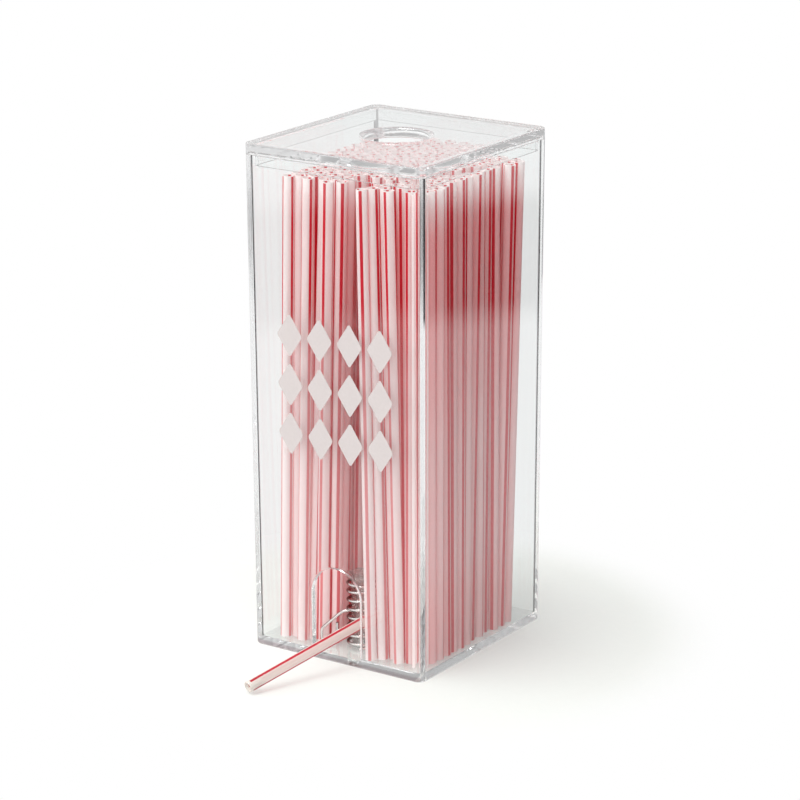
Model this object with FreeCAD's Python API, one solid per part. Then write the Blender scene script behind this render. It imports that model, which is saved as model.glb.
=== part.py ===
import FreeCAD, Part
import math
import os
import random

from FreeCAD import Vector

# Countertop straw dispenser: a clear moulded case with a lift-off lid, a bundle of standing straws, and a
# sprung wire lever on an upright post behind an arched opening.
# Frame: millimetres, +Z up, front face towards -Y, origin in the middle of the case's underside.

# ---- driving dimensions ----------------------------------------------------------------------------

# clear case and lid
WIDTH = 87.0                # along X, over the lid
DEPTH = 94.0                # along Y, over the lid
DRAFT = 0.9                 # how far each side of the case leans in from the mouth to the underside
WALL = 3.0
FLOOR = 3.5
CORNER_R = 4.0              # upright outer corners of case and lid
CAVITY_CORNER_R = 0.4       # upright inner corners
UNDERSIDE_EDGE_R = 0.8

LID_PLATE = 4.5
LID_TOP_EDGE_R = 0.5
LID_LOWER_EDGE_R = 0.3
LID_SEAT_GAP = 0.1          # lid plate over the case's rim
HEADROOM = 8.4              # standing straws' tops to the lid plate
SKIRT_DEPTH = 4.8
SKIRT_WALL = 1.8
SKIRT_CORNER_R = 3.0
SKIRT_CLEARANCE = 0.3       # skirt inside the case's mouth
FINGER_HOLE_D = 26.8
FINGER_HOLE_EDGE_R = 2.1    # nearly full round

ARCH_WIDTH = 24.0
ARCH_HEIGHT = 37.5          # over the floor's top face
ARCH_EDGE_R = 0.5

# lever post and what turns on it
POST_X = 2.0
POST_SETBACK = 13.1         # axis behind the inside of the front wall
POST_D = 5.0
POST_SOCKET_DEPTH = 2.5     # blind socket in the floor
POST_TOP_CHAMFER = 0.4
RUNNING_CLEARANCE = 0.05    # hub bore over the post, on the radius
WASHER_THICKNESS = 0.6
WASHER_D = 8.8
AXIAL_PLAY = 0.15           # washer to hub, and hub to clip
HUB_D = 8.6
HUB_LENGTH = 31.0
HUB_FLANGE_D = 13.4
HUB_FLANGE_THICKNESS = 1.2
CLIP_D = 8.8
CLIP_THICKNESS = 0.6
CLIP_GROOVE_DEPTH = 0.4
CLIP_MOUTH = 3.8            # width of the clip's open side
POST_ABOVE_CLIP = 1.2

# steel wire of spring and lever
WIRE_D = 1.2
SPRING_MEAN_R = 5.9
SPRING_PITCH = 3.85
SPRING_END_PITCH = 1.35     # closed end turns
SPRING_OPEN_TURNS = 6.6
SPRING_LEG = 1.6            # straight upright leg at each end
SPRING_BEND_R = 1.0
SPRING_FLOOR_GAP = 0.1      # lowest turn over the floor's top face
SPRING_START_DEG = 305.0    # where the lowest turn starts, seen from above
LEG_HOLE_CLEARANCE = 0.1

LEVER_REST_DEG = 215.0      # direction of the arm at rest, seen from above
LEVER_ROOT_SINK = 1.4       # arm's end inside the hub's wall
LEVER_ARM_Z = 18.6
LEVER_KNEE_R = 8.0
LEVER_REACH = 16.9
LEVER_SHOULDER_Z = 10.8
LEVER_LOOP_Z = 5.6
LEVER_LOOP_R = 10.4         # inner upright of the hanging loop
LEVER_LOOP_END_Z = 13.4
LEVER_SWING_DEG = 35.0      # how far the arm turns towards the front
LEVER_SIDE_DEG = 12.0       # free ground on each side of the swept sector
LEVER_KNEE_BEND = 5.0
LEVER_SHOULDER_BEND = 2.2
LEVER_LOOP_BEND = 1.5

# straws
STRAW_D = 4.7
STRAW_WALL = 0.3
STRAW_LENGTH = 198.5
STRAW_FOOT_GAP = 0.1        # standing straw over the floor's top face
STRAW_SPACING = 0.08        # least gap between neighbouring straws
STRAW_WALL_GAP = 0.3        # straw to case wall, and to the lever's and the dispensed straw's ways

COLUMN_STEP = 4.05          # from one column of straws to the next, along X
COLUMN_PITCH = 5.2          # from straw to straw in a column, along Y
BUNDLE_TO_LEFT = 9.3        # inside of each wall, at the floor, to the nearest row of axes
BUNDLE_TO_RIGHT = 5.0
BUNDLE_TO_FRONT = 6.9
BUNDLE_TO_REAR = 13.6
BUNDLE_LEAN_X = 4.0         # tops of the left side lean this far towards +X
BUNDLE_LEAN_Y = 9.0         # tops of the rear side lean this far towards +Y
BUNDLE_WANDER = 1.2         # most that a straw strays from its place in the pattern
WALL_STRAW_GAP = 0.1        # straws that stand against the front wall, over their usual gap to it
OPEN_GROUND = [(4.0, -41.0), (5.0, -24.0), (13.0, -6.0), (21.0, 8.0)]  # line over it that tops lean to
TOP_SETTLE = 0.25           # how far a top leans in at each shake
TOP_SETTLE_REACH = 22.0     # tops further than this from the line don't lean in
TOP_SETTLE_MOST = 3.0       # most that a top leans in
BUNDLE_SHAKES = 200
BUNDLE_STEP = 0.35
BUNDLE_SEED = 7
LEAN_STATIONS = 36          # heights at which a leaning straw is kept off the free ground

# the straw in the arch: straight outside, bent up inside, all in one upright plane
TIP_X = -10.3
TIP_OVERHANG = 46.3         # tip in front of the lid's front edge
TIP_Z = 2.7
PULL_DEG = 70.2             # plan direction from the tip inwards
RISE_DEG = 14.9
STRAIGHT_LENGTH = 58.6
BEND_R = 74.0
PULL_TRAVEL = 12.0          # how far it slides out

CUT_OVERRUN = 1.0           # how far a cutter runs past the face it cuts
LENGTH_TOLERANCE = 0.001

# ---- derived sizes ---------------------------------------------------------------------------------

STRAW_FOOT_Z = FLOOR + STRAW_FOOT_GAP
LID_BOTTOM = STRAW_FOOT_Z + STRAW_LENGTH + HEADROOM
LID_TOP = LID_BOTTOM + LID_PLATE
CASE_HEIGHT = LID_BOTTOM - LID_SEAT_GAP
INSIDE_X = WIDTH / 2 - DRAFT - WALL          # inside of the right wall at the underside
INSIDE_Y = DEPTH / 2 - DRAFT - WALL
POST_Y = POST_SETBACK - INSIDE_Y
POST_AXIS = Vector(POST_X, POST_Y, 0)
WASHER_TOP = FLOOR + WASHER_THICKNESS
HUB_BOTTOM = WASHER_TOP + AXIAL_PLAY
HUB_TOP = HUB_BOTTOM + HUB_LENGTH
CLIP_BOTTOM = HUB_TOP + AXIAL_PLAY
POST_TOP = CLIP_BOTTOM + CLIP_THICKNESS + POST_ABOVE_CLIP
STRAW_R = STRAW_D / 2
BUNDLE_LOW_X = BUNDLE_TO_LEFT - INSIDE_X
BUNDLE_HIGH_X = INSIDE_X - BUNDLE_TO_RIGHT
BUNDLE_LOW_Y = BUNDLE_TO_FRONT - INSIDE_Y
BUNDLE_HIGH_Y = INSIDE_Y - BUNDLE_TO_REAR
TIP = Vector(TIP_X, -DEPTH / 2 - TIP_OVERHANG, TIP_Z)
PULL_WAY = Vector(math.cos(math.radians(PULL_DEG)), math.sin(math.radians(PULL_DEG)), 0)
UP = Vector(0, 0, 1)


# ---- shared shapes ---------------------------------------------------------------------------------

def rounded_rectangle(size_x, size_y, radius, z):
    """Wire of a rectangle with round corners, centred on the Z axis at height z."""
    hx = size_x / 2
    hy = size_y / 2
    inset = radius * (1 - math.sqrt(0.5))
    edges = []
    corners = [(1, 1), (-1, 1), (-1, -1), (1, -1)]
    ends = []
    for sx, sy in corners:
        on_x_side = Vector(sx * hx, sy * (hy - radius), z)
        on_y_side = Vector(sx * (hx - radius), sy * hy, z)
        middle = Vector(sx * (hx - inset), sy * (hy - inset), z)
        first, last = (on_x_side, on_y_side) if sx == sy else (on_y_side, on_x_side)
        edges.append(Part.Arc(first, middle, last).toShape())
        ends.append((first, last))
    for here, after in zip(ends, ends[1:] + ends[:1]):
        edges.append(Part.makeLine(here[1], after[0]))
    return Part.Wire(Part.__sortEdges__(edges))


def drafted_block(low_z, high_z, inset, corner_r):
    """Solid with the case's draft between two heights, inset from its outside, with round upright edges."""
    low_x, low_y = case_size(low_z, inset)
    high_x, high_y = case_size(high_z, inset)
    block = Part.makeWedge(-low_x / 2, low_z, -low_y / 2, -high_y / 2, -high_x / 2,
                           low_x / 2, high_z, low_y / 2, high_y / 2, high_x / 2)
    block.rotate(Vector(0, 0, 0), Vector(1, 0, 0), 90)
    upright = [e for e in block.Edges if abs(e.Vertexes[0].Z - e.Vertexes[1].Z) > LENGTH_TOLERANCE]
    return block.makeFillet(corner_r, upright)


def upright_block(size_x, size_y, radius, low_z, high_z):
    """Solid with the same rounded rectangle all the way up."""
    outline = rounded_rectangle(size_x, size_y, radius, low_z)
    return Part.Face(outline).extrude(UP * (high_z - low_z))


def case_size(z, inset=0.0):
    """Outer X and Y size of the drafted case at height z, less an inset on each side."""
    lean = DRAFT * (1 - z / CASE_HEIGHT)
    return WIDTH - 2 * (lean + inset), DEPTH - 2 * (lean + inset)


def level_edges(shape, z):
    """Edges that lie wholly at height z."""
    return [e for e in shape.Edges if all(abs(v.Z - z) < LENGTH_TOLERANCE for v in e.Vertexes)
            and e.BoundBox.ZLength < LENGTH_TOLERANCE]


def around_post(radius, degrees, z):
    """Point at a radius and direction round the post's axis."""
    angle = math.radians(degrees)
    return POST_AXIS + Vector(radius * math.cos(angle), radius * math.sin(angle), z)


def ring(outer_d, inner_d, low_z, high_z):
    """Flat ring round the post's axis."""
    base = POST_AXIS + UP * low_z
    height = high_z - low_z
    return Part.makeCylinder(outer_d / 2, height, base).cut(Part.makeCylinder(inner_d / 2, height, base))


def bent_path(points, radii):
    """Wire of straight runs through points, with an arc of the given radius at each inner point."""
    edges = []
    start = points[0]
    for before, corner, after, radius in zip(points, points[1:], points[2:], radii):
        back = (before - corner).normalize()
        ahead = (after - corner).normalize()
        half = back.getAngle(ahead) / 2
        reach = radius / math.tan(half)
        first = corner + back * reach
        last = corner + ahead * reach
        bisector = (back + ahead).normalize()
        middle = corner + bisector * (radius / math.sin(half) - radius)
        edges.append(Part.makeLine(start, first))
        edges.append(Part.Arc(first, middle, last).toShape())
        start = last
    edges.append(Part.makeLine(start, points[-1]))
    return Part.Wire(edges)


def swept_round(path, diameter):
    """Round bar along a path."""
    first = path.Edges[0]
    start = first.valueAt(first.FirstParameter)
    along = first.tangentAt(first.FirstParameter)
    section = Part.Wire(Part.Circle(start, along, diameter / 2).toShape())
    return path.makePipeShell([section], True, False)


def save(shape, name):
    shape.exportStep(os.path.join("parts", name + ".step"))


# ---- case and lid ----------------------------------------------------------------------------------

def arch_cutter():
    """Round-headed slot through the front wall, from the floor's top face upwards."""
    half = ARCH_WIDTH / 2
    y = -DEPTH / 2 - WALL
    shoulder = FLOOR + ARCH_HEIGHT - half
    low_left = Vector(-half, y, FLOOR)
    high_left = Vector(-half, y, shoulder)
    crown = Vector(0, y, shoulder + half)
    high_right = Vector(half, y, shoulder)
    low_right = Vector(half, y, FLOOR)
    outline = Part.Wire([
        Part.makeLine(low_left, high_left),
        Part.Arc(high_left, crown, high_right).toShape(),
        Part.makeLine(high_right, low_right),
        Part.makeLine(low_right, low_left),
    ])
    return Part.Face(outline).extrude(Vector(0, WALL * 3, 0))


def arch_edges(case):
    """Edges of the arch on the wall's two faces, without those along the floor."""
    half = ARCH_WIDTH / 2
    found = []
    for edge in case.Edges:
        box = edge.BoundBox
        inside = box.XMin > -half - WALL / 2 and box.XMax < half + WALL / 2
        in_front = box.YMax < -DEPTH / 2 + DRAFT + WALL * 1.5
        low = box.ZMin > FLOOR - LENGTH_TOLERANCE and box.ZMax < FLOOR + ARCH_HEIGHT + LENGTH_TOLERANCE
        if inside and in_front and low and box.ZLength > WALL and box.YLength < WALL / 2:
            found.append(edge)
    return found


def case_body():
    outer = drafted_block(0, CASE_HEIGHT, 0, CORNER_R)
    outer = outer.makeFillet(UNDERSIDE_EDGE_R, level_edges(outer, 0))
    cavity = drafted_block(FLOOR, CASE_HEIGHT + CUT_OVERRUN, WALL, CAVITY_CORNER_R)
    case = outer.cut(cavity).cut(arch_cutter())
    case = case.makeFillet(ARCH_EDGE_R, arch_edges(case))
    socket_bottom = POST_AXIS + UP * (FLOOR - POST_SOCKET_DEPTH)
    socket = Part.makeCylinder(POST_D / 2, POST_SOCKET_DEPTH + CUT_OVERRUN, socket_bottom)
    leg_hole_r = WIRE_D / 2 + LEG_HOLE_CLEARANCE
    leg_hole = Part.makeCylinder(leg_hole_r, FLOOR, spring_low_leg() - UP * LEG_HOLE_CLEARANCE)
    return case.cut(socket).cut(leg_hole)


def lid():
    plate = upright_block(WIDTH, DEPTH, CORNER_R, LID_BOTTOM, LID_TOP)
    plate = plate.makeFillet(LID_TOP_EDGE_R, level_edges(plate, LID_TOP))
    plate = plate.makeFillet(LID_LOWER_EDGE_R, level_edges(plate, LID_BOTTOM))
    skirt_bottom = LID_BOTTOM - SKIRT_DEPTH
    inset = 2 * (WALL + SKIRT_CLEARANCE)
    skirt = upright_block(WIDTH - inset, DEPTH - inset, SKIRT_CORNER_R, skirt_bottom, LID_BOTTOM)
    inset += 2 * SKIRT_WALL
    hollow_r = SKIRT_CORNER_R - SKIRT_WALL
    hollow = upright_block(WIDTH - inset, DEPTH - inset, hollow_r, skirt_bottom, LID_BOTTOM)
    hole = Part.makeCylinder(FINGER_HOLE_D / 2, LID_PLATE, UP * LID_BOTTOM)
    plate = plate.cut(hole)
    rims = [e for z in (LID_BOTTOM, LID_TOP) for e in level_edges(plate, z) if e.isClosed()]
    plate = plate.makeFillet(FINGER_HOLE_EDGE_R, rims)
    return plate.fuse(skirt.cut(hollow)).removeSplitter()


# ---- lever post, hub, clip and washer --------------------------------------------------------------

def pivot_post():
    base = POST_AXIS + UP * (FLOOR - POST_SOCKET_DEPTH)
    radius = POST_D / 2
    length = POST_TOP - base.z
    post = Part.makeCylinder(radius, length - POST_TOP_CHAMFER, base)
    tip_base = POST_AXIS + UP * (POST_TOP - POST_TOP_CHAMFER)
    tip = Part.makeCone(radius, radius - POST_TOP_CHAMFER, POST_TOP_CHAMFER, tip_base)
    groove_d = POST_D - 2 * CLIP_GROOVE_DEPTH
    groove = ring(POST_D + CUT_OVERRUN, groove_d, CLIP_BOTTOM, CLIP_BOTTOM + CLIP_THICKNESS)
    return post.fuse(tip).cut(groove).removeSplitter()


def retaining_clip():
    """Open ring that snaps sideways into the post's groove."""
    inner_d = POST_D - 2 * CLIP_GROOVE_DEPTH
    clip = ring(CLIP_D, inner_d, CLIP_BOTTOM, CLIP_BOTTOM + CLIP_THICKNESS)
    corner = POST_AXIS + Vector(-CLIP_MOUTH / 2, 0, CLIP_BOTTOM)
    return clip.cut(Part.makeBox(CLIP_MOUTH, CLIP_D, CLIP_THICKNESS, corner))


def thrust_washer():
    return ring(WASHER_D, POST_D + 2 * RUNNING_CLEARANCE, FLOOR, WASHER_TOP)


def lever_hub():
    """Sleeve with a top flange, a socket for the wire arm and a hole for the spring's upper leg."""
    bore_d = POST_D + 2 * RUNNING_CLEARANCE
    sleeve = ring(HUB_D, bore_d, HUB_BOTTOM, HUB_TOP)
    flange = ring(HUB_FLANGE_D, bore_d, HUB_TOP - HUB_FLANGE_THICKNESS, HUB_TOP)
    leg_hole_r = WIRE_D / 2 + LEG_HOLE_CLEARANCE
    leg_hole = Part.makeCylinder(leg_hole_r, SPRING_LEG * 3, spring_high_leg() - UP * SPRING_LEG)
    arm_root = around_post(HUB_D / 2 - LEVER_ROOT_SINK, LEVER_REST_DEG, LEVER_ARM_Z)
    outwards = around_post(1, LEVER_REST_DEG, 0) - POST_AXIS
    arm_socket = Part.makeCylinder(WIRE_D / 2, HUB_D, arm_root, outwards)
    return sleeve.fuse(flange).removeSplitter().cut(leg_hole).cut(arm_socket)


# ---- wire lever and its spring ---------------------------------------------------------------------

def lever_arm():
    """Wire that leaves the hub level, drops in a long bend and hangs a small loop at its end."""
    stations = [
        (HUB_D / 2 - LEVER_ROOT_SINK, LEVER_ARM_Z),
        (LEVER_KNEE_R, LEVER_ARM_Z),
        (LEVER_REACH, LEVER_SHOULDER_Z),
        (LEVER_REACH, LEVER_LOOP_Z),
        (LEVER_LOOP_R, LEVER_LOOP_Z),
        (LEVER_LOOP_R, LEVER_LOOP_END_Z),
    ]
    points = [around_post(radius, LEVER_REST_DEG, z) for radius, z in stations]
    bends = [LEVER_KNEE_BEND, LEVER_SHOULDER_BEND, LEVER_LOOP_BEND, LEVER_LOOP_BEND]
    return swept_round(bent_path(points, bends), WIRE_D)


def spring_sections():
    """Start angle, end angle, start height and end height of the spring's three helices."""
    low_z = FLOOR + SPRING_FLOOR_GAP + WIRE_D / 2
    sections = []
    angle = SPRING_START_DEG
    z = low_z
    for turns, pitch in ((1, SPRING_END_PITCH), (SPRING_OPEN_TURNS, SPRING_PITCH), (1, SPRING_END_PITCH)):
        sections.append((angle, angle + 360 * turns, z, z + turns * pitch))
        angle += 360 * turns
        z += turns * pitch
    return sections


def spring_low_leg():
    """Lower end of the leg that stands in the floor."""
    angle, _, z, _ = spring_sections()[0]
    tangent = around_post(1, angle + 90, 0) - POST_AXIS
    return around_post(SPRING_MEAN_R, angle, z - SPRING_BEND_R - SPRING_LEG) - tangent * SPRING_BEND_R


def spring_high_leg():
    """Upper end of the leg that stands in the hub's flange."""
    _, angle, _, z = spring_sections()[-1]
    tangent = around_post(1, angle + 90, 0) - POST_AXIS
    return around_post(SPRING_MEAN_R, angle, z + SPRING_BEND_R + SPRING_LEG) + tangent * SPRING_BEND_R


def helix_edges(start_deg, end_deg, low_z, high_z):
    """Edges of one helix round the post's axis."""
    turns = (end_deg - start_deg) / 360
    helix = Part.makeHelix((high_z - low_z) / turns, high_z - low_z, SPRING_MEAN_R)
    helix.rotate(Vector(0, 0, 0), UP, start_deg)
    helix.translate(POST_AXIS + UP * low_z)
    return helix.Edges


def leg_edges(end, coil_angle, coil_z, side):
    """Upright leg and quarter bend between a leg's end and the coil; side is -1 below and +1 above."""
    tangent = around_post(1, coil_angle + 90, 0) - POST_AXIS
    coil_point = around_post(SPRING_MEAN_R, coil_angle, coil_z)
    leg_top = coil_point + tangent * (side * SPRING_BEND_R) + UP * (side * SPRING_BEND_R)
    centre = coil_point + UP * (side * SPRING_BEND_R)
    halfway = centre + (tangent * side - UP * side) * (SPRING_BEND_R * math.sqrt(0.5))
    edges = [Part.makeLine(end, leg_top), Part.Arc(leg_top, halfway, coil_point).toShape()]
    return edges


def return_spring():
    sections = spring_sections()
    first_deg, _, first_z, _ = sections[0]
    _, last_deg, _, last_z = sections[-1]
    edges = leg_edges(spring_low_leg(), first_deg, first_z, -1)
    for section in sections:
        edges += helix_edges(*section)
    edges += reversed(leg_edges(spring_high_leg(), last_deg, last_z, 1))
    path = Part.Wire(Part.__sortEdges__(edges))
    return swept_round(path, WIRE_D)


# ---- straws ----------------------------------------------------------------------------------------

def standing_straw(foot, top):
    """Thin tube from a foot point over the floor, leaning towards the plan position of its top."""
    start = Vector(foot[0], foot[1], STRAW_FOOT_Z)
    way = Vector(top[0], top[1], STRAW_FOOT_Z + STRAW_LENGTH) - start
    tube = Part.makeCylinder(STRAW_R, STRAW_LENGTH, start, way)
    return tube.cut(Part.makeCylinder(STRAW_R - STRAW_WALL, STRAW_LENGTH, start, way))


def alley_line():
    """Plan line that the dispensed straw and its way out take up, from the front wall to its upright end."""
    tip = Vector(TIP.x, TIP.y, 0)
    plan_length = STRAIGHT_LENGTH * math.cos(math.radians(RISE_DEG))
    plan_length += BEND_R * (1 - math.sin(math.radians(RISE_DEG)))
    return tip, tip + PULL_WAY * plan_length


def nearest_on_line(point, line):
    """Point of a line with two ends that is nearest in plan to another point."""
    start, end = line
    span = end - start
    share = max(0.0, min(1.0, (point - start).dot(span) / span.dot(span)))
    return start + span * share


def distance_to_line(point, line):
    """Plan distance from a point to a line with two ends."""
    return (point - nearest_on_line(point, line)).Length


def dispensed_height(plan_distance):
    """Height of the dispensed straw's axis at a plan distance from its tip."""
    rise = math.radians(RISE_DEG)
    straight = STRAIGHT_LENGTH * math.cos(rise)
    if plan_distance <= straight:
        return TIP_Z + plan_distance * math.tan(rise)
    sine = math.sin(rise) + (plan_distance - straight) / BEND_R
    bend_z = TIP_Z + STRAIGHT_LENGTH * math.sin(rise)
    if sine >= 1:
        return bend_z + STRAW_LENGTH - STRAIGHT_LENGTH
    return bend_z + BEND_R * (math.cos(rise) - math.sqrt(1 - sine * sine))


def is_free(x, y, z):
    """Whether a standing straw may have its axis here: clear of the lever's ground and the straw's alley."""
    point = Vector(x, y, 0)
    if z < POST_TOP + STRAW_WALL_GAP:
        from_post = point - POST_AXIS
        bearing = math.degrees(math.atan2(from_post.y, from_post.x)) % 360
        if from_post.Length < HUB_FLANGE_D / 2 + STRAW_R + STRAW_WALL_GAP:
            return False
        swept = LEVER_REST_DEG - LEVER_SIDE_DEG < bearing < LEVER_REST_DEG + LEVER_SWING_DEG + LEVER_SIDE_DEG
        if swept and from_post.Length < LEVER_REACH + WIRE_D / 2 + STRAW_R + STRAW_WALL_GAP:
            return False
        if abs(x) < ARCH_WIDTH / 2 and y < POST_Y - SPRING_MEAN_R:
            return False
    clear = 2 * STRAW_R + STRAW_WALL_GAP
    furthest = (point - Vector(TIP.x, TIP.y, 0)).dot(PULL_WAY) + PULL_TRAVEL + clear
    if z > dispensed_height(furthest) + clear:
        return True
    return distance_to_line(point, alley_line()) > clear


def least_gap(one, other):
    """Least plan distance between the axes of two leaning straws at equal heights."""
    ax = one[0] - other[0]
    ay = one[1] - other[1]
    bx = one[2] - other[2] - ax
    by = one[3] - other[3] - ay
    slope = bx * bx + by * by
    share = 0.0 if slope == 0 else max(0.0, min(1.0, -(ax * bx + ay * by) / slope))
    return math.hypot(ax + share * bx, ay + share * by)


def leaning(x, y):
    """Foot and top of a straw that follows the bundle's overall lean."""
    to_left = (BUNDLE_HIGH_X - x) / (BUNDLE_HIGH_X - BUNDLE_LOW_X)
    to_rear = (y - BUNDLE_LOW_Y) / (BUNDLE_HIGH_Y - BUNDLE_LOW_Y)
    return (x, y, x + BUNDLE_LEAN_X * to_left, y + BUNDLE_LEAN_Y * to_rear)


def fits_case(axis):
    """Whether a straw's foot and top stay inside the walls."""
    foot_x, foot_y, top_x, top_y = axis
    margin = STRAW_R + STRAW_WALL_GAP
    low_x, low_y = case_size(FLOOR, WALL + margin)
    high_x, high_y = case_size(FLOOR + STRAW_LENGTH, WALL + margin)
    foot_fits = abs(foot_x) < low_x / 2 and abs(foot_y) < low_y / 2
    return foot_fits and abs(top_x) < high_x / 2 and abs(top_y) < high_y / 2


def on_free_ground(axis):
    """Whether a straw is free all the way from its foot to its top."""
    foot_x, foot_y, top_x, top_y = axis
    shares = [i / LEAN_STATIONS for i in range(LEAN_STATIONS + 1)]
    return all(is_free(foot_x + s * (top_x - foot_x), foot_y + s * (top_y - foot_y),
                       STRAW_FOOT_Z + s * STRAW_LENGTH) for s in shares)


def home_columns():
    """Foot and top of each straw in the strict pattern, one list per column.

    Every other column is half a pitch back. Where a column's first place isn't free, a straw stands
    against the front wall if it can.
    """
    columns = []
    wall_y = -case_size(FLOOR, WALL + STRAW_R + STRAW_WALL_GAP)[1] / 2 + WALL_STRAW_GAP
    for i in range(int((BUNDLE_HIGH_X - BUNDLE_LOW_X) / COLUMN_STEP) + 1):
        x = BUNDLE_LOW_X + i * COLUMN_STEP
        first_y = BUNDLE_LOW_Y + (i % 2) * COLUMN_PITCH / 2
        count = int((BUNDLE_HIGH_Y - first_y) / COLUMN_PITCH) + 1
        homes = [leaning(x, first_y + j * COLUMN_PITCH) for j in range(count)]
        if not is_free(x, first_y, STRAW_FOOT_Z):
            homes.insert(0, leaning(x, wall_y))
        columns.append([home for home in homes if on_free_ground(home)])
    return columns


def settling(axis, first_home):
    """Small step of a straw's top towards the open ground, or none if that is far or it has gone its most."""
    top = Vector(axis[2], axis[3], 0)
    gone = math.hypot(axis[2] - first_home[2], axis[3] - first_home[3])
    corners = [Vector(x, y, 0) for x, y in OPEN_GROUND]
    offsets = [nearest_on_line(top, line) - top for line in zip(corners, corners[1:])]
    offset = min(offsets, key=lambda way: way.Length)
    if offset.Length < TOP_SETTLE or offset.Length > TOP_SETTLE_REACH or gone > TOP_SETTLE_MOST:
        return 0, 0, 0, 0
    share = TOP_SETTLE / offset.Length
    return 0, 0, offset.x * share, offset.y * share


def shaken_columns():
    """Foot and top of every standing straw, shaken out of the strict pattern without touching.

    Meanwhile the tops near the open ground lean in over it, and their places in the pattern with them.
    """
    draw = random.Random(BUNDLE_SEED)
    columns = home_columns()
    first_homes = [axis for column in columns for axis in column]
    homes = list(first_homes)
    straws = list(first_homes)
    least = STRAW_D + STRAW_SPACING
    reach = least + 2 * (BUNDLE_WANDER + TOP_SETTLE_REACH)
    near = [[j for j, other in enumerate(homes) if j != i and least_gap(home, other) < reach]
            for i, home in enumerate(homes)]
    for _ in range(BUNDLE_SHAKES):
        for i in range(len(homes)):
            step = settling(straws[i], first_homes[i])
            home = tuple(value + change for value, change in zip(homes[i], step))
            moved = tuple(value + change + draw.uniform(-BUNDLE_STEP, BUNDLE_STEP)
                          for value, change in zip(straws[i], step))
            strayed = max(abs(value - rest) for value, rest in zip(moved, home))
            if strayed > BUNDLE_WANDER or not fits_case(moved) or not on_free_ground(moved):
                continue
            if all(least_gap(moved, straws[j]) >= least for j in near[i]):
                straws[i] = moved
                homes[i] = home
    shaken = []
    first = 0
    for column in columns:
        shaken.append(straws[first:first + len(column)])
        first += len(column)
    return shaken


def straw_column(axes):
    """Group of separate standing straws."""
    return Part.makeCompound([standing_straw(axis[:2], axis[2:]) for axis in axes])


def dispensed_straw():
    """Straw that lies straight through the arch and bends up inside the case."""
    rise = math.radians(RISE_DEG)
    along = PULL_WAY * math.cos(rise) + UP * math.sin(rise)
    across = UP * math.cos(rise) - PULL_WAY * math.sin(rise)
    bend_start = TIP + along * STRAIGHT_LENGTH
    centre = bend_start + across * BEND_R
    turn = math.pi / 2 - rise
    bend_middle = centre + along * (BEND_R * math.sin(turn / 2)) - across * (BEND_R * math.cos(turn / 2))
    bend_end = centre + along * (BEND_R * math.sin(turn)) - across * (BEND_R * math.cos(turn))
    upright = STRAW_LENGTH - STRAIGHT_LENGTH - BEND_R * turn
    path = Part.Wire([
        Part.makeLine(TIP, bend_start),
        Part.Arc(bend_start, bend_middle, bend_end).toShape(),
        Part.makeLine(bend_end, bend_end + UP * upright),
    ])
    return swept_round(path, STRAW_D).cut(swept_round(path, STRAW_D - 2 * STRAW_WALL))


# ---- write the pieces ------------------------------------------------------------------------------

def main():
    os.makedirs("parts", exist_ok=True)
    save(case_body(), "case_body")
    save(lid(), "lid")
    save(pivot_post(), "pivot_post")
    save(retaining_clip(), "retaining_clip")
    save(thrust_washer(), "thrust_washer")
    save(lever_hub(), "lever_hub")
    save(lever_arm(), "lever_arm")
    save(return_spring(), "return_spring")
    save(dispensed_straw(), "dispensed_straw")
    for number, axes in enumerate(shaken_columns(), start=1):
        save(straw_column(axes), f"straw_column_{number:02d}")


main()
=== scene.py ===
import bpy
import math
import random
from mathutils import Matrix, Vector


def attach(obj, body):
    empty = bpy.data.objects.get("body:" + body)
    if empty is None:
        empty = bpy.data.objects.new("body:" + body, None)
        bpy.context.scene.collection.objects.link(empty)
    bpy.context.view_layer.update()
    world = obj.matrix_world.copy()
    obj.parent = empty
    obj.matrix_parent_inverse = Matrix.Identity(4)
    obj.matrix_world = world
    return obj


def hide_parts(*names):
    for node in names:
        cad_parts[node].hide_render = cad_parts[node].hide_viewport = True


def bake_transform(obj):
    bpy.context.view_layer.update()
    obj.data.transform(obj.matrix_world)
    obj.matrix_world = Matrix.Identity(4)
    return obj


# Dressing of the straw dispenser: clear acrylic case and lid, polished wire, striped straws, and a block
# of plain diamonds printed on the front. Metres, +Z up, front face towards -Y.

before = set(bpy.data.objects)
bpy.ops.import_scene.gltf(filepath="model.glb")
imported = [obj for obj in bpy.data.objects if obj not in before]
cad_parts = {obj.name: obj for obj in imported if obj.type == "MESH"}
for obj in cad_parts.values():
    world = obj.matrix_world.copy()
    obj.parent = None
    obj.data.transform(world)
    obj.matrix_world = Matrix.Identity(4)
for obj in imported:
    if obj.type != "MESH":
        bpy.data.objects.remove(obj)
bpy.context.view_layer.update()
scene = bpy.context.scene

MM = 0.001
WHITE = (1, 1, 1, 1)


def add_object(name, data):
    thing = bpy.data.objects.new(name, data)
    scene.collection.objects.link(thing)
    return thing


def add_mesh(name, vertices, faces, material):
    mesh = bpy.data.meshes.new(name)
    mesh.from_pydata(vertices, [], faces)
    mesh.materials.append(material)
    return add_object(name, mesh)


# ---- camera ----------------------------------------------------------------------------------------

AZIMUTH = math.radians(34.28)
ELEVATION = math.radians(16.84)
ROLL = math.radians(-0.23)
IMAGE_PX = 800.0
FOCAL_PX = 3194.0               # the focal length in pixels of that image
SENSOR = 36.0                   # millimetres, as Blender has it
CAMERA_BACK = 1.3607            # from the origin, along the camera's own axes
CAMERA_SIDE = 0.00052
CAMERA_UP = 0.0979
SEEN_FROM = 0.01
SEEN_TO = 60.0


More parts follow.
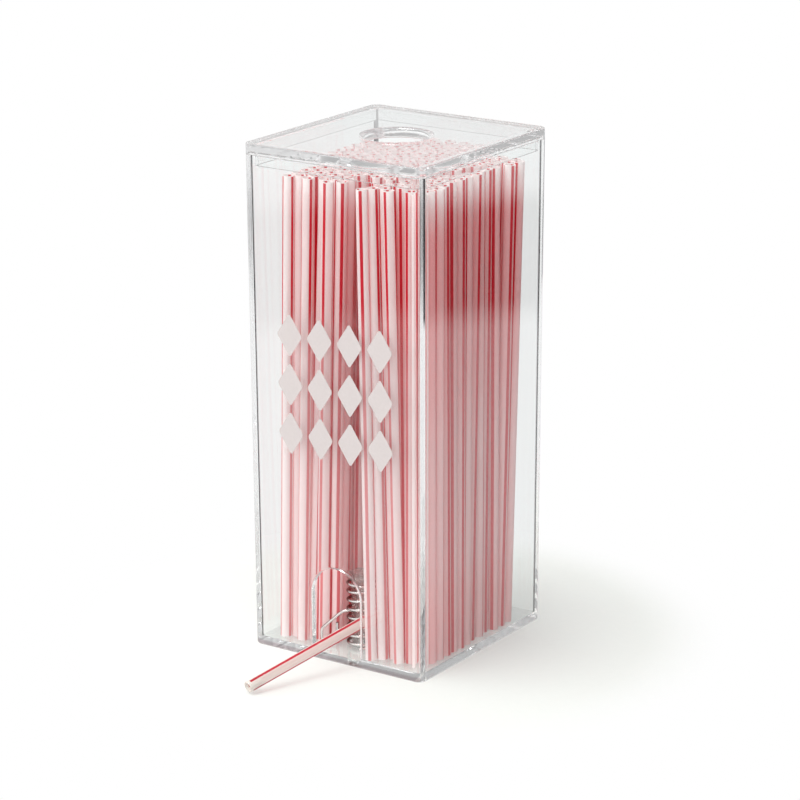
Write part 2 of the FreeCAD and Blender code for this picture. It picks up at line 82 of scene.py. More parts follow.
def make_camera():
    right = Vector((math.cos(AZIMUTH), math.sin(AZIMUTH), 0))
    back = Vector((math.sin(AZIMUTH) * math.cos(ELEVATION), -math.cos(AZIMUTH) * math.cos(ELEVATION),
                   math.sin(ELEVATION)))
    up = back.cross(right)
    side = right * math.cos(ROLL) + up * math.sin(ROLL)
    top = up * math.cos(ROLL) - right * math.sin(ROLL)
    data = bpy.data.cameras.new("camera")
    data.sensor_fit = "HORIZONTAL"
    data.sensor_width = SENSOR
    data.lens = SENSOR * FOCAL_PX / IMAGE_PX
    data.clip_start = SEEN_FROM
    data.clip_end = SEEN_TO
    camera = add_object("camera", data)
    place = back * CAMERA_BACK + side * CAMERA_SIDE + top * CAMERA_UP
    turn = Matrix((side, top, back)).transposed().to_4x4()
    camera.matrix_world = Matrix.Translation(place) @ turn
    scene.camera = camera


make_camera()


# ---- node helpers ----------------------------------------------------------------------------------

# Values for these helpers are kept together: a ramp is (low, high, level at low, level at high), a bump is
# (strength, height), and a noise's cells are counted to the unit along each axis.

class Nodes:
    """Short way to build a material's or the world's node tree."""

    def __init__(self, tree):
        self.tree = tree
        tree.nodes.clear()

    def add(self, kind, inputs=None, **settings):
        node = self.tree.nodes.new(kind)
        for name, value in settings.items():
            setattr(node, name, value)
        for key, value in (inputs or {}).items():
            self.feed(node.inputs[key], value)
        return node

    def feed(self, socket, value):
        """Link the socket to another one, or set its own value."""
        if isinstance(value, bpy.types.NodeSocket):
            self.tree.links.new(value, socket)
        else:
            socket.default_value = value

    def math(self, operation, *values):
        return self.add("ShaderNodeMath", dict(enumerate(values)), operation=operation).outputs[0]

    def product(self, first, *others):
        for other in others:
            first = self.math("MULTIPLY", first, other)
        return first

    def ramp(self, value, low, high, at_low, at_high, kind="SMOOTHSTEP"):
        """Level that goes from at_low to at_high as the value goes from low to high."""
        inputs = {"Value": value, "From Min": low, "From Max": high, "To Min": at_low, "To Max": at_high}
        return self.add("ShaderNodeMapRange", inputs, interpolation_type=kind).outputs["Result"]

    def place(self):
        """Place in the part's own frame, because each piece's object sits at the origin."""
        return self.add("ShaderNodeTexCoord").outputs["Object"]

    def xyz(self, vector):
        return self.add("ShaderNodeSeparateXYZ", {0: vector}).outputs

    def mix_color(self, factor, first, second):
        node = self.add("ShaderNodeMix", data_type="RGBA")
        for index, value in ((0, factor), (6, first), (7, second)):
            self.feed(node.inputs[index], value)
        return node.outputs[2]

    def mix_shader(self, factor, first, second):
        return self.add("ShaderNodeMixShader", {0: factor, 1: first, 2: second}).outputs[0]

    def by_ray(self, lighting, mirrored, refracted, seen):
        """A shader for each kind of ray: to light dull surfaces, to show in gloss, to show through clear
        plastic, and to be seen straight by the camera.
        """
        path = self.add("ShaderNodeLightPath").outputs
        shown = self.mix_shader(path["Is Glossy Ray"], lighting, mirrored)
        shown = self.mix_shader(path["Is Transmission Ray"], shown, refracted)
        return self.mix_shader(path["Is Camera Ray"], shown, seen)

    def lighting_ray(self):
        """1 for a ray that carries lamp light or diffuse light."""
        path = self.add("ShaderNodeLightPath").outputs
        return self.math("MAXIMUM", path["Is Shadow Ray"], path["Is Diffuse Ray"])

    def noise(self, vector, cells, detail, roughness=0.5):
        stretched = self.add("ShaderNodeMapping", {"Vector": vector, "Scale": cells}).outputs["Vector"]
        inputs = {"Vector": stretched, "Scale": 1.0, "Detail": detail, "Roughness": roughness}
        return self.add("ShaderNodeTexNoise", inputs).outputs["Fac"]

    def bump(self, height, strength, distance):
        inputs = {"Height": height, "Strength": strength, "Distance": distance}
        return self.add("ShaderNodeBump", inputs).outputs["Normal"]

    def glow(self, color, level=1.0):
        return self.add("ShaderNodeEmission", {"Color": color, "Strength": level}).outputs[0]

    def see_through(self, color):
        return self.add("ShaderNodeBsdfTransparent", {"Color": color}).outputs[0]

    def output(self, surface, kind="ShaderNodeOutputMaterial"):
        return self.add(kind, {"Surface": surface})


def new_material(name):
    material = bpy.data.materials.new(name)
    material.use_nodes = True
    return material, Nodes(material.node_tree)


def coat(mesh, material):
    mesh.materials.clear()
    mesh.materials.append(material)


def dress(names, material):
    """Give CAD nodes a material."""
    for name in names:
        coat(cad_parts[name].data, material)


PLASTIC_IOR = 1.49


# ---- clear plastic ---------------------------------------------------------------------------------

CASE_TINT = (0.955, 0.972, 0.970, 1)
LID_TINT = (0.972, 0.983, 0.982, 1)
FITTING_TINT = (0.98, 0.985, 0.985, 1)
INSIDE_TINT = (0.15, 0.0, 0.08, 1)      # share of each colour that the inside leaves alone
CASE_LOSS = 0.4                         # per metre inside
LID_LOSS = 0.6
FITTING_LOSS = 0.3
FITTING_PLAINNESS = 0.6
FACE_LOSS_TINT = (0.955, 0.96, 0.955, 1)  # what light keeps at each face it passes straight on
SMUDGE = 0.05                           # roughness of the strongest smear
SMEARED = (0.5, 0.85)                   # noise values from clean to strongest
SMEAR_CELLS = (72, 72, 18)
SMEAR_DETAIL = 4.0
SMEAR_ROUGHNESS = 0.6
WAVE_CELLS = (14, 14, 5)
WAVE_DETAIL = 1.0
WAVE_BUMP = (0.01, 0.4 * MM)

CASE_HALF_WIDTH = 43.5 * MM             # at the mouth
CASE_HALF_DEPTH = 47.0 * MM
CASE_HEIGHT = 210.4 * MM
CASE_DRAFT = 0.9 * MM                   # each face leans in by this towards the underside

# Depths under the outer faces are below zero, as past_face has them.
# Painted shade: dark lines on the upright corners and a grey band at the front's foot are painted into the
# case's tint, for light that its walls trap and bend.
INNER_CORNER_PAINTED_SHADE = (0.1, 0.1, 0.105, 1)
INNER_CORNER = (-4.2 * MM, -3.9 * MM, 0.0, 1.0)   # over the depth under the further face of a corner
INNER_SIDE = -2.5 * MM                  # the inner side is deeper than this under the nearer face too
NEAR_INNER_SHARE = 0.03                 # the front right corner keeps little of the painted inner shade
OUTER_CORNER_PAINTED_SHADE = (0.006, 0.005, 0.006, 1)
OUTER_LINE_DEPTH = -2.57 * MM           # the painted dark line of an outer corner, under the front or back face
OUTER_LINE = (0.35 * MM, 0.6 * MM, 1.0, 0.0)      # over the distance from that line
OUTER_LINE_SIDE = -1.0 * MM             # it stays nearer to the side face than this
OUTER_LINE_RISE = (148.0 * MM, 154.0 * MM, 0.0, 1.0)  # over the height
# painted shade of the band along the front's foot
CASE_FOOT_PAINTED_SHADE = (0.52, 0.42, 0.44, 1)
FOOT = (2.0 * MM, 2.5 * MM, 1.0, 0.0)   # over the height
FOOT_FRONT_Y = -45.0 * MM


def past_face(n, coordinate, lean, half):
    """How far a point lies past a leaning outer face of the case. It is below zero inside."""
    return n.math("SUBTRACT", n.math("ADD", n.math("ABSOLUTE", coordinate), lean), half)


def painted_corner_shades(n, place, tint):
    """The tint with painted shade where light gets trapped: dark lines on the upright corners, and the
    foot of the front.
    """
    x, y, z = n.xyz(place)
    lean = n.ramp(z, 0.0, CASE_HEIGHT, CASE_DRAFT, 0.0, kind="LINEAR")
    past_x = past_face(n, x, lean, CASE_HALF_WIDTH)
    past_y = past_face(n, y, lean, CASE_HALF_DEPTH)
    not_near = n.math("MAXIMUM", n.math("LESS_THAN", x, 0.0), n.math("GREATER_THAN", y, 0.0))
    inner = n.product(n.ramp(n.math("MINIMUM", past_x, past_y), *INNER_CORNER),
                      n.math("LESS_THAN", n.math("MAXIMUM", past_x, past_y), INNER_SIDE),
                      n.math("MAXIMUM", not_near, NEAR_INNER_SHARE))
    from_line = n.math("ABSOLUTE", n.math("SUBTRACT", past_y, OUTER_LINE_DEPTH))
    outer = n.product(n.ramp(from_line, *OUTER_LINE),
                      n.math("GREATER_THAN", past_x, OUTER_LINE_SIDE),
                      n.ramp(z, *OUTER_LINE_RISE))
    foot = n.product(n.ramp(z, *FOOT), n.math("LESS_THAN", y, FOOT_FRONT_Y))
    color = n.mix_color(inner, tint, INNER_CORNER_PAINTED_SHADE)
    color = n.mix_color(outer, color, OUTER_CORNER_PAINTED_SHADE)
    return n.mix_color(foot, color, CASE_FOOT_PAINTED_SHADE)


def clear_plastic(name, tint, loss, smudge=0.0, with_painted_shade=False, plainness=0.0):
    """Polished clear acrylic, darker along long ways inside.

    Lamp light and diffuse light pass straight through it, and so does a share of other rays, plainness.
    """
    material, n = new_material(name)
    place = n.place()
    # the case's tint gets painted shade on its corners and at its front foot
    if with_painted_shade:
        tint = painted_corner_shades(n, place, tint)
    rough = 0.0
    if smudge:
        smears = n.noise(place, SMEAR_CELLS, SMEAR_DETAIL, SMEAR_ROUGHNESS)
        rough = n.ramp(smears, *SMEARED, 0.0, smudge)
    waves = n.noise(place, WAVE_CELLS, WAVE_DETAIL)
    glass = n.add("ShaderNodeBsdfPrincipled", {
        "Base Color": tint, "Roughness": rough, "IOR": PLASTIC_IOR, "Transmission Weight": 1.0,
        "Normal": n.bump(waves, *WAVE_BUMP)})
    passes = n.math("MAXIMUM", n.lighting_ray(), plainness)
    out = n.output(n.mix_shader(passes, glass.outputs[0], n.see_through(FACE_LOSS_TINT)))
    inside = n.add("ShaderNodeVolumeAbsorption", {"Color": INSIDE_TINT, "Density": loss})
    n.feed(out.inputs["Volume"], inside.outputs[0])
    return material


def dress_clear_pieces():
    # the case has the painted corner and foot shades
    case = clear_plastic("clear_case", CASE_TINT, CASE_LOSS, with_painted_shade=True)
    lid = clear_plastic("clear_lid", LID_TINT, LID_LOSS, SMUDGE)
    fittings = clear_plastic("clear_fittings", FITTING_TINT, FITTING_LOSS, SMUDGE,
                             plainness=FITTING_PLAINNESS)
    dress(["case_body"], case)
    dress(["lid"], lid)
    dress(["pivot_post", "lever_hub", "thrust_washer", "retaining_clip"], fittings)


# ---- polished wire ---------------------------------------------------------------------------------

WIRE_PAINTED_FACING = (0.95, 0.92, 0.90, 1)
WIRE_PAINTED_DARK_RIM = (0.15, 0.10, 0.09, 1)        # painted reflection: dark where the wire turns away, for the dark among the straws it would mirror
WIRE_PAINTED_RIM_RAMP = (0.25, 0.7, 0.0, 1.0)
EVEN_FACING = 0.5                       # Layer Weight's own blend, for a plain facing value
GRAIN_CELLS = (900, 900, 900)
GRAIN_DETAIL = 3.0
GRAIN_ROUGH = (0.3, 0.8, 0.07, 0.2)
GRAIN_BUMP = (0.2, 0.03 * MM)


def polished_wire():
    material, n = new_material("polished_wire")
    grain = n.noise(n.place(), GRAIN_CELLS, GRAIN_DETAIL)
    # Painted reflection: the wire's colour is pale where it faces the view and dark at its rims.
    facing = n.add("ShaderNodeLayerWeight", {"Blend": EVEN_FACING}).outputs["Facing"]
    color = n.mix_color(n.ramp(facing, *WIRE_PAINTED_RIM_RAMP), WIRE_PAINTED_FACING, WIRE_PAINTED_DARK_RIM)
    steel = n.add("ShaderNodeBsdfPrincipled", {
        "Base Color": color, "Metallic": 1.0, "Roughness": n.ramp(grain, *GRAIN_ROUGH),
        "Normal": n.bump(grain, *GRAIN_BUMP)})
    n.output(steel.outputs[0])
    return material


def make_spring(wire):
    """The return spring, which winds up between the floor and the turning hub."""
    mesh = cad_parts["return_spring"].data.copy()
    coat(mesh, wire)
    piece = add_object("winding_spring", mesh)
    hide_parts("return_spring")
    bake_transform(piece)


def make_wire_pieces():
    wire = polished_wire()
    dress(["lever_arm"], wire)
    make_spring(wire)


# ---- straws ----------------------------------------------------------------------------------------

STRAW_R = 2.35 * MM
STRAW_WALL = 0.3 * MM
BORE_DEPTH = 6.0 * MM                   # how far down the bore has its own wall
AROUND = 36
SHARP_EDGE = math.radians(50)
TURNS_FROM = Vector((0.31, 0.95, 0))    # turns round a straw are counted from square to this
STRAW_SEED = 11

STRIPES = 3
STRIPE_WIDTH = 1.35 * MM
STRIPE_BLUR = 0.02                      # of the way from stripe to stripe, as is the wander
STRIPE_WANDER = 0.05
WANDER_CELLS = 14.0
WANDER_DETAIL = 1.0
STANDING_BARE_END = 0.3 * MM            # stripes stop short of the cut end
DRAWN_BARE_END = 1.5 * MM
DRAWN_STRIPE_TURN = 0.685               # puts one stripe along the drawn straw's upper side
PAINTED_PALE_STRIPE = 0.72                     # painted light: strength that an unshaded straw's stripes wash out to further along
PAINTED_PALE_FROM = 45.0 * MM                   # along the straw from its first end
PAINTED_PALE_TO = 85.0 * MM

STANDING_WHITE = (0.95, 0.935, 0.93, 1)
STANDING_RED = (0.62, 0.010, 0.030, 1)
# Painted shade: the drawn straw's colours are darker than the standing straws', to offset the stronger
# light it gets out in the open.
DRAWN_SHADED_WHITE = (0.70, 0.69, 0.64, 1)
DRAWN_SHADED_RED = (0.40, 0.010, 0.028, 1)
# Painted shade: straws behind the front row, towards the shaded right side and further down are painted
# pinker and darker, as if lit only through other straws' stripes.
PAINTED_SHADE_WHITE = (0.91, 0.40, 0.41, 1)    # painted shade: the white as lit only through the stripes of other straws
PAINTED_SHADE_RED = (0.58, 0.006, 0.02, 1)
# the drawn straw gets a little of the painted shade
DRAWN_PAINTED_SHADE = 0.1
FRONT_ROW_Y = -36.5 * MM                # no painted shade on the front row; the shade is full at the shade depth behind it
RIGHT_ROW_X = 34.0 * MM
RIGHT_ROW_PAINTED_SHADE = 0.8
PAINTED_SHADE_DEPTH = 5.0 * MM
LIT_SIDE_X = 5.0 * MM                   # the painted shade grows from here to the shaded right side
LIT_SIDE_PAINTED_SHADE = 0.55
PAINTED_SHADE_SPREAD = 25.0 * MM
LEAST_PAINTED_SHADE = 0.7                    # each straw draws a random share of its painted shade from here to 1
TOP_PAINTED_SHADE = (2.0 * MM, 22.0 * MM, 0.0, 1.0)        # the painted shade along the straw, from its first end
MIDDLE_PAINTED_SHADE = (70.0 * MM, 120.0 * MM, 1.0, 0.6)
STRAW_FOOT_PAINTED_SHADE = (155.0 * MM, 180.0 * MM, 1.0, 1.3)

SCATTERED_THROUGH = 0.42                # share of light that the wall scatters through
CLEAR_SHARE = 0.2                       # share seen straight through, between the stripes
CLEAR_TINT = (1, 0.97, 0.97, 1)
CLEAR_RED = (0.9, 0.1, 0.12, 1)
LIGHT_LET_IN = 0.6                      # share of lamp light and diffuse light that goes straight on
DRAWING_CELLS = (26, 2.5, 1)            # fine lines along the straw, to the UV unit
DRAWING_DETAIL = 2.0
DRAWING_BUMP = (0.3, 0.04 * MM)
DRAWING_ROUGH = (0.3, 0.7, 0.28, 0.42)


def stripe_strength(n, turn, along, painted_shade):
    """1 in the stripes and 0 between them, with a bare cut end, and further along painted light that
    washes the stripes out, less on straws with painted shade.
    """
    wander = n.add("ShaderNodeTexNoise", {"W": along, "Scale": WANDER_CELLS, "Detail": WANDER_DETAIL},
                   noise_dimensions="1D").outputs["Fac"]
    wandered = n.math("ADD", turn, n.product(wander, STRIPE_WANDER))
    from_middle = n.math("ABSOLUTE", n.math("SUBTRACT", n.math("FRACT", wandered), 0.5))
    half = STRIPE_WIDTH * STRIPES / (2 * math.pi * STRAW_R) / 2
    bare_end = n.add("ShaderNodeAttribute", attribute_name="bare_end").outputs["Fac"]
    # painted light: stripes wash out further along, less where the straw has painted shade
    paler_further_on = n.math("ADD", n.product(painted_shade, 1.0 - PAINTED_PALE_STRIPE), PAINTED_PALE_STRIPE)
    return n.product(n.ramp(from_middle, half - STRIPE_BLUR, half + STRIPE_BLUR, 1.0, 0.0),
                     n.math("GREATER_THAN", along, bare_end),
                     n.ramp(along, PAINTED_PALE_FROM, PAINTED_PALE_TO, 1.0, paler_further_on))


def striped_plastic(name, plain, striped):
    """Thin translucent white plastic with red stripes along it, and painted shade that turns it pinker and
    darker by the straw's place and along its length.

    The UV map's u counts stripes round the straw. Its v is the length from the straw's first end, which is
    the top, or the drawn straw's outer end.
    """
    material, n = new_material(name)
    uv = n.add("ShaderNodeUVMap", uv_map="around").outputs["UV"]
    turn, along, _ = n.xyz(uv)
    painted_shade = n.add("ShaderNodeAttribute", attribute_name="painted_shade").outputs["Fac"]
    stripe = stripe_strength(n, turn, along, painted_shade)
    # painted shade along the straw: none at the top, less in the middle, more at the foot
    shade_along = n.product(n.ramp(along, *TOP_PAINTED_SHADE), n.ramp(along, *MIDDLE_PAINTED_SHADE), n.ramp(along, *STRAW_FOOT_PAINTED_SHADE))
    tint = n.product(painted_shade, shade_along)
    white = n.mix_color(tint, plain, PAINTED_SHADE_WHITE)
    red = n.mix_color(tint, striped, PAINTED_SHADE_RED)
    color = n.mix_color(stripe, white, red)
    lines = n.noise(uv, DRAWING_CELLS, DRAWING_DETAIL)
    normal = n.bump(lines, *DRAWING_BUMP)
    body = n.add("ShaderNodeBsdfPrincipled", {
        "Base Color": color, "Roughness": n.ramp(lines, *DRAWING_ROUGH), "IOR": PLASTIC_IOR,
        "Normal": normal})
    through = n.add("ShaderNodeBsdfTranslucent", {"Color": color, "Normal": normal})
    wall = n.mix_shader(SCATTERED_THROUGH, body.outputs[0], through.outputs[0])
    between = n.math("SUBTRACT", 1.0, stripe)
    seen = n.mix_shader(n.product(between, CLEAR_SHARE), wall, n.see_through(CLEAR_TINT))
    let_in = n.see_through(n.mix_color(stripe, CLEAR_TINT, CLEAR_RED))
    n.output(n.mix_shader(n.product(n.lighting_ray(), LIGHT_LET_IN), seen, let_in))
    return material


def tube_rings(stations):
    """Rings of one straw, from the bore at its start to the bore at its end.

    Each is its middle, its way, its length from the start and its radius.
    """
    lengths = [0.0]
    for (here, _), (after, _) in zip(stations, stations[1:]):
        lengths.append(lengths[-1] + (after - here).length)
    whole = lengths[-1]
    start, way = stations[0]
    end, end_way = stations[-1]
    bore_r = STRAW_R - STRAW_WALL
    rings = [(start + way * BORE_DEPTH, way, BORE_DEPTH, bore_r), (start, way, 0.0, bore_r)]
    rings += [(point, along, length, STRAW_R) for (point, along), length in zip(stations, lengths)]
    rings += [(end, end_way, whole, bore_r),
              (end - end_way * BORE_DEPTH, end_way, whole - BORE_DEPTH, bore_r)]
    return rings


def add_tubes(name, straws, bare_end, material):
    """One piece of thin-walled tubes. Each straw is (point, way) stations, a stripe offset and its painted
    shade.

    The wall is one translucent surface, and the bore has its own only as far as it can be looked into.
    """
    vertices = []
    faces = []
    turns = []
    painted_shades = []
    for stations, offset, tint in straws:
        rings = tube_rings(stations)
        first = len(vertices)
        across = rings[0][1].cross(TURNS_FROM).normalized()
        for point, along, _, radius in rings:
            across = (across - along * across.dot(along)).normalized()
            side = along.cross(across)
            for j in range(AROUND):
                angle = 2 * math.pi * j / AROUND
                vertices.append(point + (across * math.cos(angle) + side * math.sin(angle)) * radius)
        for i in range(len(rings) - 1):
            low, high = rings[i][2], rings[i + 1][2]
            cut_end = low == high
            here, after = first + i * AROUND, first + (i + 1) * AROUND
            for j in range(AROUND):
                k = (j + 1) % AROUND
                faces.append((here + j, here + k, after + k, after + j))
                for u, v in ((j, low), (j + 1, low), (j + 1, high), (j, high)):
                    turns.append((0.0 if cut_end else STRIPES * u / AROUND + offset, v))
                painted_shades.append(tint)
    piece = add_mesh(name, vertices, faces, material)
    mesh = piece.data
    layer = mesh.uv_layers.new(name="around")
    for loop, turn in zip(layer.data, turns):
        loop.uv = turn
    for attribute, values in (("painted_shade", painted_shades), ("bare_end", [bare_end] * len(faces))):
        mesh.attributes.new(attribute, "FLOAT", "FACE").data.foreach_set("value", values)
    mesh.polygons.foreach_set("use_smooth", [True] * len(faces))
    mesh.set_sharp_from_angle(angle=SHARP_EDGE)
    return piece


WELD_TO_METRE = 1e6                     # corners less than about a micron apart count as one


def loose_parts(mesh):
    """Vertex positions of each connected part of a mesh."""
    parent = list(range(len(mesh.vertices)))

    def root(i):
        while parent[i] != i:
            parent[i] = parent[parent[i]]
            i = parent[i]
        return i

    def join(first, second):
        a, b = root(first), root(second)
        if a != b:
            parent[a] = b

    for edge in mesh.edges:
        join(*edge.vertices)
    welded = {}
    for vertex in mesh.vertices:
        key = tuple(round(c * WELD_TO_METRE) for c in vertex.co)
        if key in welded:
            join(welded[key], vertex.index)
        else:
            welded[key] = vertex.index
    parts = {}
    for vertex in mesh.vertices:
        parts.setdefault(root(vertex.index), []).append(vertex.co.copy())
    return list(parts.values())


def painted_place_shade(foot):
    """Painted shade of a straw by its place: the inner ones are painted pinker and darker, as light
    reaches them only through the stripes of the others.
    """
    behind_front = max(0.0, min(1.0, (foot.y - FRONT_ROW_Y) / PAINTED_SHADE_DEPTH))
    behind_right = max(RIGHT_ROW_PAINTED_SHADE, min(1.0, (RIGHT_ROW_X - foot.x) / PAINTED_SHADE_DEPTH))
    off_light = max(LIT_SIDE_PAINTED_SHADE, min(1.0, (foot.x - LIT_SIDE_X) / PAINTED_SHADE_SPREAD))
    return behind_front * behind_right * off_light


def straight_straws(node, draw):
    """Standing straws of one CAD column as straight tubes on the same axes."""
    straws = []
    for points in loose_parts(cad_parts[node].data):
        middle = sum((p.z for p in points)) / len(points)
        low = [p for p in points if p.z < middle]
        high = [p for p in points if p.z >= middle]
        foot = sum(low, Vector()) / len(low)
        top = sum(high, Vector()) / len(high)
        down = (foot - top).normalized()
        # painted shade by the straw's place, varied at random from straw to straw
        tint = painted_place_shade(foot) * draw.uniform(LEAST_PAINTED_SHADE, 1.0)
        straws.append(([(top, down), (foot, down)], draw.random(), tint))
    return straws


# the drawn straw: straight outside, bent up inside, all in one upright plane
TIP = Vector((-10.3, -93.3, 2.7)) * MM  # middle of the outer end
PULL = math.radians(70.2)               # way into the case, seen from above, from +X
RISE = math.radians(14.9)
STRAIGHT = 58.6 * MM
BEND_R = 74.0 * MM
DRAWN_LENGTH = 198.5 * MM
BEND_STEPS = 40


def drawn_stations():
    pull = Vector((math.cos(PULL), math.sin(PULL), 0))
    up = Vector((0, 0, 1))
    along = pull * math.cos(RISE) + up * math.sin(RISE)
    across = up * math.cos(RISE) - pull * math.sin(RISE)
    start = TIP + along * STRAIGHT
    centre = start + across * BEND_R
    turn = math.pi / 2 - RISE
    stations = [(TIP, along), (start, along)]
    for i in range(1, BEND_STEPS + 1):
        angle = turn * i / BEND_STEPS
        point = centre + along * (BEND_R * math.sin(angle)) - across * (BEND_R * math.cos(angle))
        stations.append((point, along * math.cos(angle) + across * math.sin(angle)))
    end = stations[-1][0] + up * (DRAWN_LENGTH - STRAIGHT - BEND_R * turn)
    stations.append((end, up))
    return stations


def make_standing_straws():
    plastic = striped_plastic("striped_plastic", STANDING_WHITE, STANDING_RED)
    draw = random.Random(STRAW_SEED)
    columns = sorted(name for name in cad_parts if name.startswith("straw_column"))
    for node in columns:
        straws = straight_straws(node, draw)
        piece = add_tubes(node.replace("column", "row"), straws, STANDING_BARE_END, plastic)
        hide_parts(node)
        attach(piece, "case")


def make_drawn_straw():
    # the drawn straw's plastic is a darker copy, as painted shade
    plastic = striped_plastic("striped_plastic_drawn", DRAWN_SHADED_WHITE, DRAWN_SHADED_RED)
    # the drawn straw takes a little painted shade
    straws = [(drawn_stations(), DRAWN_STRIPE_TURN, DRAWN_PAINTED_SHADE)]
    piece = add_tubes("drawn_striped_straw", straws, DRAWN_BARE_END, plastic)
    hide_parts("dispensed_straw")
    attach(piece, "drawn_straw")


# ---- print on the front -----------------------------------------------------------------------------

PRINT_CENTRE_X = 1.0 * MM
PRINT_LOW_Z = 87.0 * MM
PRINT_ROWS = 3
PRINT_IN_ROW = 4
DIAMOND_WIDTH = 12.6 * MM
DIAMOND_HEIGHT = 18.6 * MM
DIAMOND_ROUND = 1.4 * MM
DIAMOND_GAP = 2.2 * MM
ROUND_STEPS = 8
INK_THICKNESS = 0.04 * MM
INK_OFFSET = 0.01 * MM
INK_DARK = (0.45, 0.41, 0.40, 1)
INK_PALE = (0.50, 0.46, 0.45, 1)
INK_ROUGH = 0.55
INK_CELLS = (900, 900, 900)
INK_DETAIL = 3.0
INK_BUMP = (0.25, 0.03 * MM)
INK_THINNESS = 0.1                      # share seen straight through
THIN_INK_TINT = (1, 0.98, 0.98, 1)


def rounded_diamond():
    """Outline of one diamond round the origin, in the plane of the print."""
    corners = [Vector((DIAMOND_WIDTH / 2, 0)), Vector((0, DIAMOND_HEIGHT / 2)),
               Vector((-DIAMOND_WIDTH / 2, 0)), Vector((0, -DIAMOND_HEIGHT / 2))]
    outline = []
    for before, corner, after in zip(corners[-1:] + corners, corners, corners[1:] + corners[:1]):
        first = corner + (before - corner).normalized() * DIAMOND_ROUND
        last = corner + (after - corner).normalized() * DIAMOND_ROUND
        for step in range(ROUND_STEPS + 1):
            t = step / ROUND_STEPS
            outline.append(first * (1 - t) ** 2 + corner * 2 * t * (1 - t) + last * t ** 2)
    return outline


def white_ink():
    material, n = new_material("white_ink")
    speckle = n.noise(n.place(), INK_CELLS, INK_DETAIL)
    body = n.add("ShaderNodeBsdfPrincipled", {
        "Base Color": n.mix_color(speckle, INK_DARK, INK_PALE), "Roughness": INK_ROUGH,
        "Normal": n.bump(speckle, *INK_BUMP)})
    n.output(n.mix_shader(INK_THINNESS, body.outputs[0], n.see_through(THIN_INK_TINT)))
    return material


def make_print():
    outline = rounded_diamond()
    count = len(outline)
    vertices = []
    faces = []
    for row in range(PRINT_ROWS):
        for place in range(PRINT_IN_ROW):
            centre_x = PRINT_CENTRE_X + (place - (PRINT_IN_ROW - 1) / 2) * (DIAMOND_WIDTH + DIAMOND_GAP)
            centre_z = PRINT_LOW_Z + DIAMOND_HEIGHT / 2 + row * (DIAMOND_HEIGHT + DIAMOND_GAP)
            first = len(vertices)
            for lift in (INK_OFFSET, INK_OFFSET + INK_THICKNESS):
                for point in outline:
                    z = centre_z + point.y
                    y = CASE_DRAFT * (1 - z / CASE_HEIGHT) - CASE_HALF_DEPTH - lift
                    vertices.append((centre_x + point.x, y, z))
            inner = [first + i for i in range(count)]
            outer = [first + count + i for i in range(count)]
            faces.append(inner[::-1])
            faces.append(outer)
            for i in range(count):
                j = (i + 1) % count
                faces.append((inner[i], inner[j], outer[j], outer[i]))
    piece = add_mesh("front_print", vertices, faces, white_ink())
    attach(piece, "case")


# ---- studio ----------------------------------------------------------------------------------------

FLOOR_HALF = 6.0
FLOOR_Z = -0.15 * MM
FLOOR_COLOR = (0.6, 0.6, 0.6, 1)                # as it lights the object
FLOOR_SEEN_COLOR = (0.36, 0.374, 0.354)         # as it takes the shadow, with the lift added
FLOOR_LIFT = 0.34
PAPER_CONTRAST = 0.01
PAPER_CELLS = (300, 300, 300)
PAPER_DETAIL = 3.0
PAPER_BUMP = (0.1, 0.1 * MM)
FAR_WHITE = (0.1, 0.14, 0.0, 1.0)               # over the distance from the origin
MIRRORED_SHEET = 0.65
GROUND_COLOR = (0.02, 0.018, 0.02, 1)
GROUND_STARTS = (0.48, 0.55, 0.0, 1.0)          # over the distance to the side
GROUND_ENDS = (0.74, 0.82, 1.0, 0.0)
GROUND_NEAR = (-0.05, 0.05, 0.0, 1.0)           # over the distance along its side
GROUND_FAR = (0.42, 0.5, 1.0, 0.0)

ROOM_BRIGHT_WAY = (-0.45, -0.82, 0.35)
ROOM_LEVEL = (-0.5, 1.0, 0.15, 2.5)             # over how near a way is to the bright one
MIRRORED_SKY = (0.4, 0.75, 0.95, 0.55)          # over the way's height
REFRACTED_SKY = (0.3, 0.8, 1.0, 0.55)
REFRACTED_SIDE = (-0.6, 0.6, 0.5, 0.8)          # over the way's X

KEY_PLACE = Vector((-0.25, -0.3, 1.5))
KEY_TARGET = Vector((0, 0, 0.1))
KEY_SIZE = 0.8
KEY_POWER = 16.0


def unlit_ground(n, x, y):
    """1 beside the white sheet, at the back on the right and at the front on the left, and else 0."""
    cos, sin = math.cos(AZIMUTH), math.sin(AZIMUTH)
    across = n.math("ADD", n.product(x, cos), n.product(y, sin))
    ahead = n.math("SUBTRACT", n.product(y, cos), n.product(x, sin))
    out = n.math("ABSOLUTE", across)
    same_side = n.product(n.math("SIGN", across), ahead)
    return n.product(n.ramp(out, *GROUND_STARTS), n.ramp(out, *GROUND_ENDS),
                     n.ramp(same_side, *GROUND_NEAR), n.ramp(same_side, *GROUND_FAR))


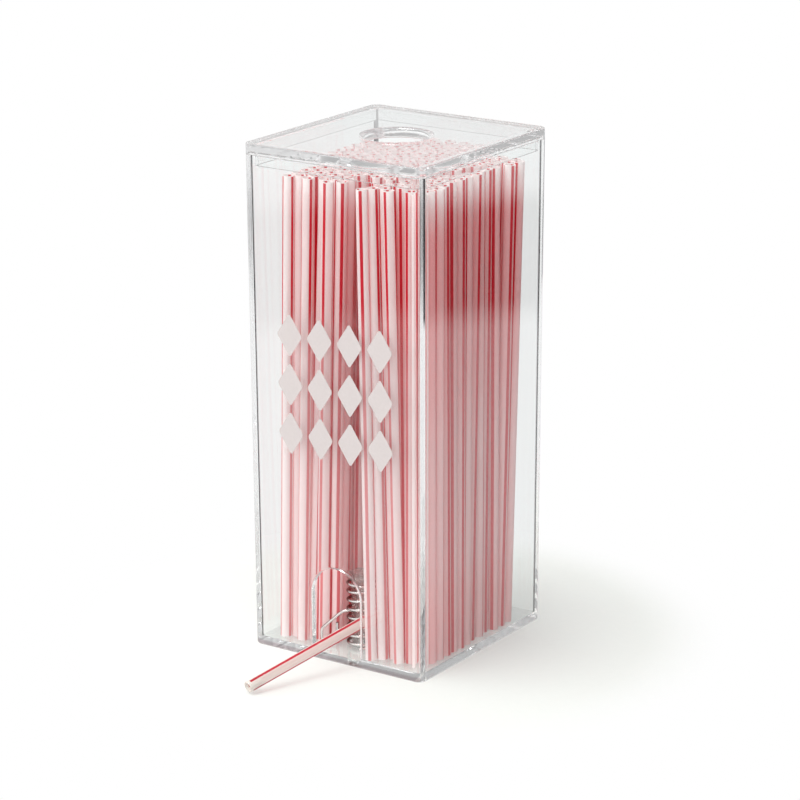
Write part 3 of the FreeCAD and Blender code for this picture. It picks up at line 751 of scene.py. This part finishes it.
def floor_material():
    """White sheet that keeps the object's shadow near it and is plain white further out.

    Mirrored and refracted, it shows the unlit ground beside the sheet.
    """
    material, n = new_material("studio_floor")
    place = n.add("ShaderNodeNewGeometry").outputs["Position"]
    x, y, _ = n.xyz(place)
    ground_share = unlit_ground(n, x, y)
    from_middle = n.math("SQRT", n.math("ADD", n.product(x, x), n.product(y, y)))
    paper = n.noise(place, PAPER_CELLS, PAPER_DETAIL)
    dark = (*(c - PAPER_CONTRAST for c in FLOOR_SEEN_COLOR), 1)
    pale = (*(c + PAPER_CONTRAST for c in FLOOR_SEEN_COLOR), 1)
    shaded = n.add("ShaderNodeBsdfDiffuse", {"Color": n.mix_color(paper, dark, pale),
                                             "Normal": n.bump(paper, *PAPER_BUMP)})
    near = n.add("ShaderNodeAddShader", {0: shaded.outputs[0], 1: n.glow(WHITE, FLOOR_LIFT)})
    seen = n.mix_shader(n.ramp(from_middle, *FAR_WHITE), near.outputs[0], n.glow(WHITE))
    ground = n.glow(GROUND_COLOR)
    mirrored = n.mix_shader(ground_share, n.glow(WHITE, MIRRORED_SHEET), ground)
    refracted = n.mix_shader(ground_share, seen, ground)
    lighting = n.add("ShaderNodeBsdfDiffuse", {"Color": FLOOR_COLOR}).outputs[0]
    n.output(n.by_ray(lighting, mirrored, refracted, seen))
    return material


def make_floor():
    corners = [(-FLOOR_HALF, -FLOOR_HALF, FLOOR_Z), (FLOOR_HALF, -FLOOR_HALF, FLOOR_Z),
               (FLOOR_HALF, FLOOR_HALF, FLOOR_Z), (-FLOOR_HALF, FLOOR_HALF, FLOOR_Z)]
    floor = add_mesh("studio_floor", corners, [(0, 1, 2, 3)], floor_material())


def make_world():
    """Plain white behind, an uneven room for diffuse light, and darker ones to mirror and to refract."""
    world = bpy.data.worlds.new("studio")
    scene.world = world
    world.use_nodes = True
    n = Nodes(world.node_tree)

    def room(level):
        return n.add("ShaderNodeBackground", {"Color": WHITE, "Strength": level}).outputs[0]

    way = n.add("ShaderNodeTexCoord").outputs["Generated"]
    x, _, z = n.xyz(way)
    near_bright = n.add("ShaderNodeVectorMath", {0: way, 1: ROOM_BRIGHT_WAY}, operation="DOT_PRODUCT")
    lighting = room(n.ramp(near_bright.outputs["Value"], *ROOM_LEVEL))
    mirrored = room(n.ramp(z, *MIRRORED_SKY))
    refracted = room(n.product(n.ramp(x, *REFRACTED_SIDE), n.ramp(z, *REFRACTED_SKY)))
    n.output(n.by_ray(lighting, mirrored, refracted, room(1.0)), "ShaderNodeOutputWorld")


def make_key_light():
    data = bpy.data.lights.new("key", "AREA")
    data.shape = "RECTANGLE"
    data.size = KEY_SIZE
    data.size_y = KEY_SIZE
    data.energy = KEY_POWER
    light = add_object("key", data)
    light.location = KEY_PLACE
    light.rotation_euler = (KEY_TARGET - KEY_PLACE).to_track_quat("-Z", "Y").to_euler()
    light.visible_camera = False


# ---- put together ----------------------------------------------------------------------------------

PATH_BOUNCES = 96                       # enough for light that is piped along inside the clear walls
DIFFUSE_BOUNCES = 8
STRAIGHT_BOUNCES = 32                   # straw walls and clear faces passed straight on

dress_clear_pieces()
make_wire_pieces()
make_standing_straws()
make_drawn_straw()
make_print()
make_floor()
make_world()
make_key_light()

scene.view_settings.view_transform = "Standard"
scene.cycles.max_bounces = PATH_BOUNCES
scene.cycles.diffuse_bounces = DIFFUSE_BOUNCES
scene.cycles.glossy_bounces = PATH_BOUNCES
scene.cycles.transmission_bounces = PATH_BOUNCES
scene.cycles.transparent_max_bounces = STRAIGHT_BOUNCES

bpy.context.view_layer.update()
